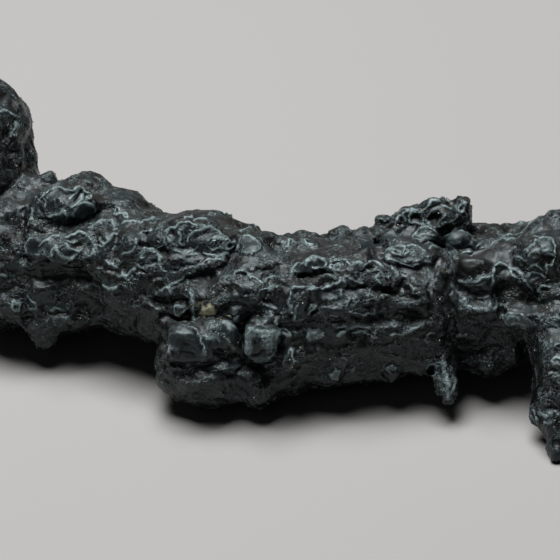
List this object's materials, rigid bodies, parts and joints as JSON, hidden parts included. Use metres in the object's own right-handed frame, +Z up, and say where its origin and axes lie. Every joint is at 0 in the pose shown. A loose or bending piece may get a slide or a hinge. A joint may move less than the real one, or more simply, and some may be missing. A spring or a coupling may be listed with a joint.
{
  "type": "prophecy stone",
  "caption": "Gnarled stick-shaped iron oxide concretion with knobs, crystal blocks and creases; lies loose on small worn flats.",
  "frame": {"origin": "centre of the bounding box at its bottom, on the ground the stone lies on", "axes": "+X along the stem from its raised head to its drooping foot, +Y away from the face, +Z up as it rests"},
  "size_m": [0.095, 0.0484, 0.0298],
  "materials": {
    "iron_oxide": "wind-polished dark grey iron oxide, satin to semi-metallic"
  },
  "bodies": {
    "root": {"stone": "iron_oxide"}
  },
  "joints": []
}
